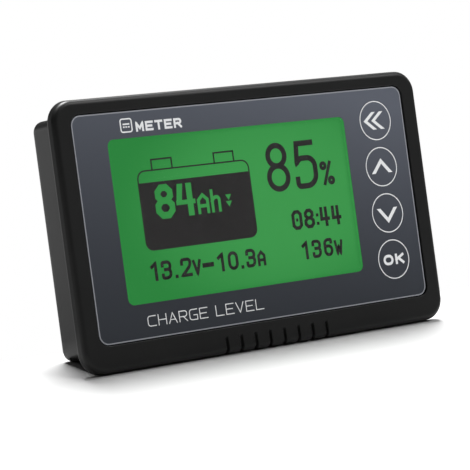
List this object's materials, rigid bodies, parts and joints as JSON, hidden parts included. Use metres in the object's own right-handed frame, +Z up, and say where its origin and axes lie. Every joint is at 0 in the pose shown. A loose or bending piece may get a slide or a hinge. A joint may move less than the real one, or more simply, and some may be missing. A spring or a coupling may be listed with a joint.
{
  "type": "battery monitor display unit",
  "caption": "Flat panel-mount battery meter with a green lit display, a column of round push keys and a shallow black rear case with a cable socket.",
  "frame": {"origin": "bottom centre of the whole object: middle of its width and depth, at the bezel's lower edge", "axes": "+X to the right across the face, +Y from the face towards the rear case's back, +Z up"},
  "size_m": [0.098, 0.015, 0.058],
  "materials": {
    "housing_plastic": "fine moulded satin black",
    "face_film": "satin printed film, slate grey",
    "adhesive_sheet": "dull translucent sheet",
    "window_clear": "clear, polished",
    "display_glass": "clear, polished",
    "polariser_film": "green, semi-clear",
    "light_guide": "green lit plastic",
    "white_plastic": "white, satin",
    "circuit_board": "green solder mask",
    "chip_black": "black epoxy",
    "ribbon_amber": "amber film",
    "ivory_plastic": "ivory, satin",
    "can_metal": "plain can",
    "contact_gold": "gold plated",
    "screw_steel": "zinc plated",
    "switch_black": "black, satin",
    "plunger_grey": "dark grey, satin"
  },
  "bodies": {
    "housing": {"front_bezel": "housing_plastic", "rear_case": "housing_plastic", "face_panel": "face_film", "panel_adhesive": "adhesive_sheet", "window_lens": "window_clear", "lcd_front_polariser": "polariser_film", "lcd_front_glass": "display_glass", "lcd_rear_glass": "display_glass", "lcd_rear_polariser": "polariser_film", "lcd_light_guide": "light_guide", "lcd_reflector": "white_plastic", "backlight_led_1": "white_plastic", "backlight_led_2": "white_plastic", "lcd_frame": "ivory_plastic", "lcd_driver_chip": "chip_black", "lcd_flex_cable": "ribbon_amber", "flex_connector": "ivory_plastic", "main_board": "circuit_board", "mcu_chip": "chip_black", "voltage_regulator": "chip_black", "power_inductor": "chip_black", "input_capacitor": "can_metal", "output_capacitor": "can_metal", "clock_crystal": "can_metal", "cable_socket": "ivory_plastic", "socket_contact_1": "contact_gold", "socket_contact_2": "contact_gold", "socket_contact_3": "contact_gold", "socket_contact_4": "contact_gold", "case_screw_1": "screw_steel", "case_screw_2": "screw_steel", "case_screw_3": "screw_steel", "case_screw_4": "screw_steel", "switch_back": "switch_black", "switch_up": "switch_black", "switch_down": "switch_black", "switch_ok": "switch_black"},
    "key_back": {"key_back": "face_film", "plunger_back": "plunger_grey", "stem_back": "white_plastic"},
    "key_up": {"key_up": "face_film", "plunger_up": "plunger_grey", "stem_up": "white_plastic"},
    "key_down": {"key_down": "face_film", "plunger_down": "plunger_grey", "stem_down": "white_plastic"},
    "key_ok": {"key_ok": "face_film", "plunger_ok": "plunger_grey", "stem_ok": "white_plastic"}
  },
  "joints": [
    {"name": "key_back_press", "type": "slide", "parent": "housing", "child": "key_back", "axis": [0, 1, 0], "range_m": [0, 0.0003], "stiffness_N_per_m": 4000, "springref_m": -0.0001},
    {"name": "key_up_press", "type": "slide", "parent": "housing", "child": "key_up", "axis": [0, 1, 0], "range_m": [0, 0.0003], "stiffness_N_per_m": 4000, "springref_m": -0.0001},
    {"name": "key_down_press", "type": "slide", "parent": "housing", "child": "key_down", "axis": [0, 1, 0], "range_m": [0, 0.0003], "stiffness_N_per_m": 4000, "springref_m": -0.0001},
    {"name": "key_ok_press", "type": "slide", "parent": "housing", "child": "key_ok", "axis": [0, 1, 0], "range_m": [0, 0.0003], "stiffness_N_per_m": 4000, "springref_m": -0.0001}
  ]
}
